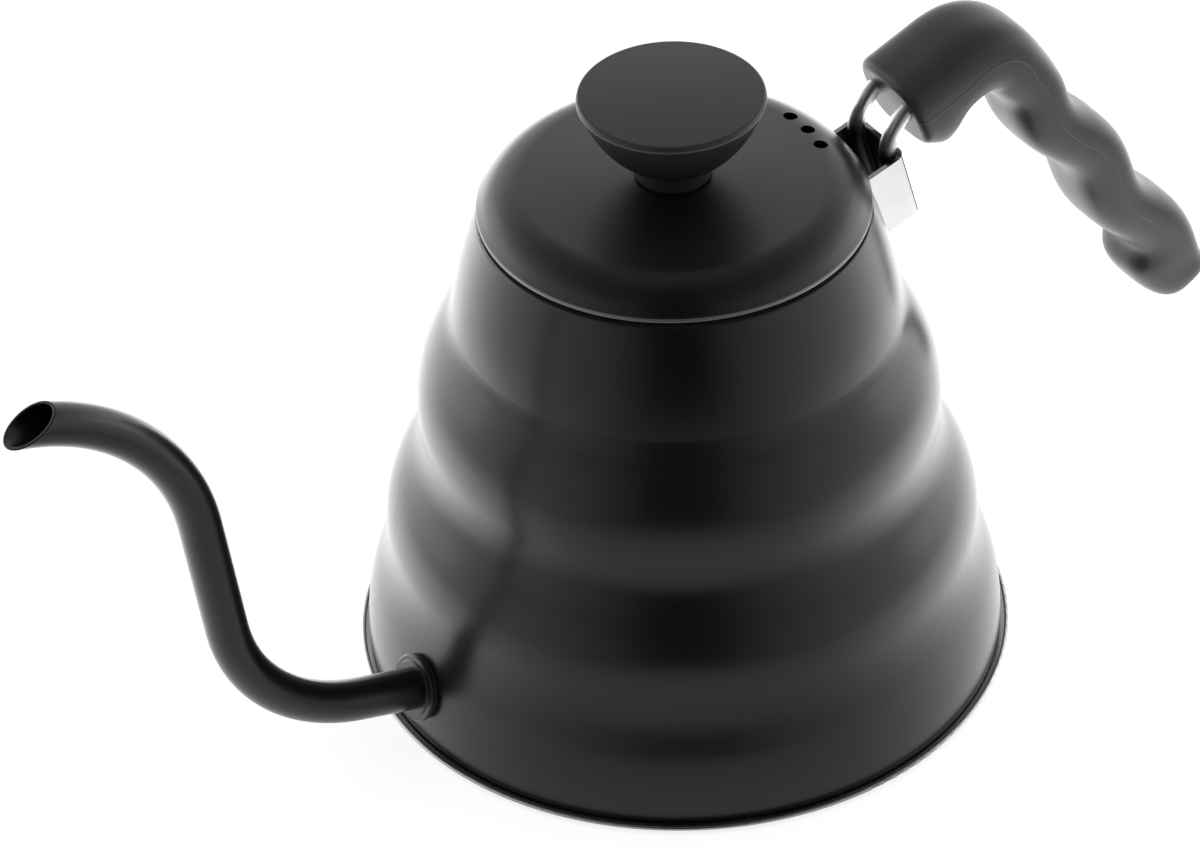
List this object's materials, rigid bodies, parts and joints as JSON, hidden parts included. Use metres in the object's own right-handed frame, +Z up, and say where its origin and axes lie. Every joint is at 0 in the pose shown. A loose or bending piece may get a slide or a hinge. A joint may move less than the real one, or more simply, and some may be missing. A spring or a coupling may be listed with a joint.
{
  "type": "gooseneck kettle",
  "caption": "Tiered black pour-over kettle with a thin S-shaped spout, a domed lift-off lid with a mushroom knob, and a wavy moulded grip on steel rods.",
  "frame": {"origin": "centre of the flat base, on the surface it stands on", "axes": "+Z up along the vessel's axis, +X toward the handle, the spout along -X"},
  "size_m": [0.3048, 0.1474, 0.1464],
  "materials": {
    "black_coat": "satin black powder coat",
    "bare_steel": "plain stainless sheet",
    "polished_steel": "polished stainless",
    "grip_plastic": "fine moulded grain",
    "knob_plastic": "fine moulded grain",
    "brass": "machined",
    "seal_rubber": "moulded silicone"
  },
  "bodies": {
    "kettle": {"body_shell": "black_coat", "base_plate": "bare_steel", "spout_tube": "black_coat", "spout_seal": "seal_rubber", "spout_collar": "black_coat", "spout_lock_ring": "bare_steel", "handle_bracket": "polished_steel", "handle_rod_left": "polished_steel", "handle_rod_right": "polished_steel", "rod_tie_bar": "bare_steel", "grip_upper": "grip_plastic", "grip_lower": "grip_plastic"},
    "lid": {"lid_shell": "black_coat", "lid_ring": "bare_steel", "lid_knob": "knob_plastic", "knob_spacer": "seal_rubber", "knob_insert": "brass", "knob_washer": "bare_steel", "knob_screw": "bare_steel"}
  },
  "joints": [
    {"name": "lid_lift", "type": "slide", "parent": "kettle", "child": "lid", "axis": [0, 0, 1], "range_m": [0, 0.08]}
  ]
}
